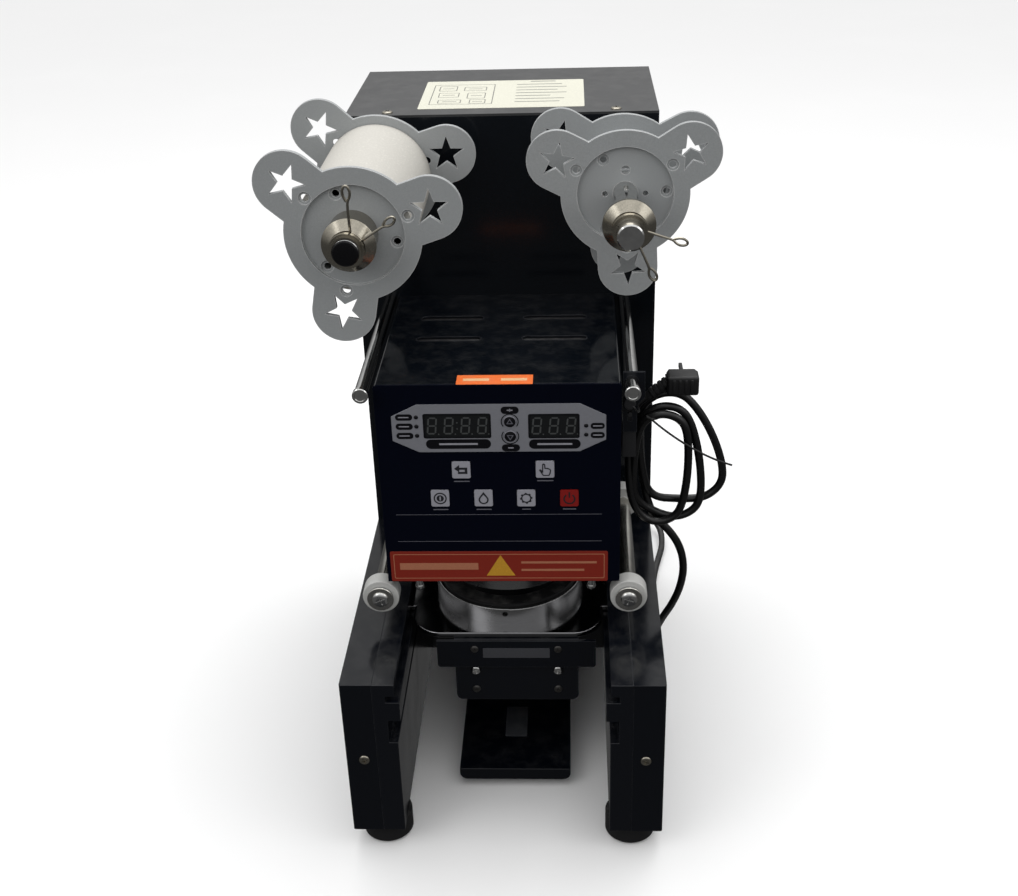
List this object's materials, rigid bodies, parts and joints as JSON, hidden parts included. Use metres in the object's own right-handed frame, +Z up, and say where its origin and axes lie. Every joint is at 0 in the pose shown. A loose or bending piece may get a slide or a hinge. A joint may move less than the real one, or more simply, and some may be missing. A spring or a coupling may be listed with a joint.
{
  "type": "cup sealing machine",
  "caption": "Tabletop cup sealing machine with a sliding cup tray under a heated press head, a control panel and two film reels with star cut-outs.",
  "frame": {"origin": "on the bench, under the middle of the casing's footprint", "axes": "+Z up, the operator stands at -Y, +X to the operator's right"},
  "size_m": [0.3517, 0.5342, 0.5799],
  "materials": {
    "casing_black": "gloss",
    "rail_black": "satin",
    "panel_black": "gloss",
    "bezel_silver": "satin",
    "board_green": "satin",
    "zinc_steel": "satin",
    "bright_chrome": "polished",
    "nickel": "polished",
    "turned_aluminium": "turned",
    "polished_tray": "polished",
    "reel_grey": "satin",
    "core_card": "matte",
    "black_rubber": "matte",
    "cord_black": "satin",
    "key_grey": "satin",
    "key_red": "satin",
    "roller_white": "satin",
    "motor_black": "satin",
    "brass_gear": "satin",
    "sensor_black": "matte"
  },
  "bodies": {
    "casing": {"base_plate": "casing_black", "left_side_cover": "casing_black", "right_side_cover": "casing_black", "left_arm_rail": "rail_black", "right_arm_rail": "rail_black", "tower_front_panel": "casing_black", "rear_cover": "casing_black", "cup_platform": "casing_black", "rubber_feet": "black_rubber", "casing_screws": "bright_chrome", "head_shell": "casing_black", "head_front_plate": "panel_black", "control_bezel": "bezel_silver", "control_board": "board_green", "press_frame": "zinc_steel", "guide_posts": "bright_chrome", "locating_pins": "bright_chrome", "press_gearmotor": "motor_black", "tray_gearmotor": "motor_black", "power_supply": "zinc_steel", "takeup_gearmotor": "motor_black", "spindle_bearings": "zinc_steel", "guide_rods": "bright_chrome", "roller_axles": "zinc_steel", "sensor_bracket": "rail_black", "film_sensor": "sensor_black", "cable_gland": "black_rubber", "power_cord": "cord_black", "cord_hank": "cord_black", "power_plug": "cord_black"},
    "tray": {"tray_plate": "polished_tray", "cup_ring": "turned_aluminium", "ring_gasket": "black_rubber", "door_plate": "casing_black", "door_bracket": "rail_black", "tray_rack": "zinc_steel"},
    "die": {"die_carriage": "zinc_steel", "heat_die": "turned_aluminium", "cutter_ring": "zinc_steel"},
    "crank": {"press_crank": "zinc_steel"},
    "pinion": {"drive_pinion": "brass_gear"},
    "feed": {"feed_spindle": "bright_chrome", "feed_rear_plate": "reel_grey", "film_core": "core_card"},
    "feed_retainer": {"feed_front_plate": "reel_grey", "feed_collar": "nickel"},
    "takeup": {"takeup_spindle": "bright_chrome", "takeup_rear_plate": "reel_grey"},
    "takeup_plate": {"takeup_front_plate": "reel_grey"},
    "takeup_clamp": {"takeup_collar": "nickel"},
    "left_roller": {"left_film_roller": "roller_white"},
    "right_roller": {"right_film_roller": "roller_white"},
    "back_key": {"back_key": "key_grey"},
    "settings_key": {"settings_key": "key_grey"},
    "hand_key": {"hand_key": "key_grey"},
    "stop_key": {"stop_key": "key_grey"},
    "drop_key": {"drop_key": "key_grey"},
    "power_key": {"power_key": "key_red"},
    "up_key": {"up_key": "key_grey"},
    "down_key": {"down_key": "key_grey"}
  },
  "joints": [
    {"name": "tray_slide", "type": "slide", "parent": "casing", "child": "tray", "axis": [0, -1, 0], "range_m": [0, 0.145]},
    {"name": "pinion_spin", "type": "hinge", "parent": "casing", "child": "pinion", "pos_m": [0.1125, -0.051, 0.143], "axis": [1, 0, 0], "range_deg": [-5, 1045]},
    {"name": "die_press", "type": "slide", "parent": "casing", "child": "die", "axis": [0, 0, -1], "range_m": [0, 0.0142]},
    {"name": "crank_turn", "type": "hinge", "parent": "casing", "child": "crank", "pos_m": [0, -0.0405, 0.29], "axis": [0, 1, 0], "range_deg": [-0.5, 33.5]},
    {"name": "feed_spin", "type": "hinge", "parent": "casing", "child": "feed", "pos_m": [-0.102, 0, 0.515], "axis": [0, 1, 0], "continuous": true},
    {"name": "feed_plate_slide", "type": "slide", "parent": "feed", "child": "feed_retainer", "axis": [0, -1, 0], "range_m": [0, 0.03]},
    {"name": "takeup_spin", "type": "hinge", "parent": "casing", "child": "takeup", "pos_m": [0.1, 0, 0.5125], "axis": [0, 1, 0], "continuous": true},
    {"name": "takeup_plate_slide", "type": "slide", "parent": "takeup", "child": "takeup_plate", "axis": [0, -1, 0], "range_m": [0, 0.07]},
    {"name": "takeup_collar_slide", "type": "slide", "parent": "takeup", "child": "takeup_clamp", "axis": [0, -1, 0], "range_m": [0, 0.01]},
    {"name": "left_roller_spin", "type": "hinge", "parent": "casing", "child": "left_roller", "pos_m": [-0.1025, -0.05, 0.206], "axis": [0, 1, 0], "continuous": true},
    {"name": "right_roller_spin", "type": "hinge", "parent": "casing", "child": "right_roller", "pos_m": [0.1025, -0.05, 0.206], "axis": [0, 1, 0], "continuous": true},
    {"name": "back_key_press", "type": "slide", "parent": "casing", "child": "back_key", "axis": [0, 1, 0], "range_m": [0, 0.0005], "stiffness_N_per_m": 800},
    {"name": "settings_key_press", "type": "slide", "parent": "casing", "child": "settings_key", "axis": [0, 1, 0], "range_m": [0, 0.0005], "stiffness_N_per_m": 800},
    {"name": "hand_key_press", "type": "slide", "parent": "casing", "child": "hand_key", "axis": [0, 1, 0], "range_m": [0, 0.0005], "stiffness_N_per_m": 800},
    {"name": "stop_key_press", "type": "slide", "parent": "casing", "child": "stop_key", "axis": [0, 1, 0], "range_m": [0, 0.0005], "stiffness_N_per_m": 800},
    {"name": "drop_key_press", "type": "slide", "parent": "casing", "child": "drop_key", "axis": [0, 1, 0], "range_m": [0, 0.0005], "stiffness_N_per_m": 800},
    {"name": "power_key_press", "type": "slide", "parent": "casing", "child": "power_key", "axis": [0, 1, 0], "range_m": [0, 0.0005], "stiffness_N_per_m": 800},
    {"name": "up_key_press", "type": "slide", "parent": "casing", "child": "up_key", "axis": [0, 1, 0], "range_m": [0, 0.0005], "stiffness_N_per_m": 800},
    {"name": "down_key_press", "type": "slide", "parent": "casing", "child": "down_key", "axis": [0, 1, 0], "range_m": [0, 0.0005], "stiffness_N_per_m": 800}
  ],
  "couplings": [
    {"joint": "pinion_spin", "follows": "tray_slide", "rad_per_m": 125},
    {"joint": "crank_turn", "follows": "die_press", "rad_per_m": 40.558}
  ]
}
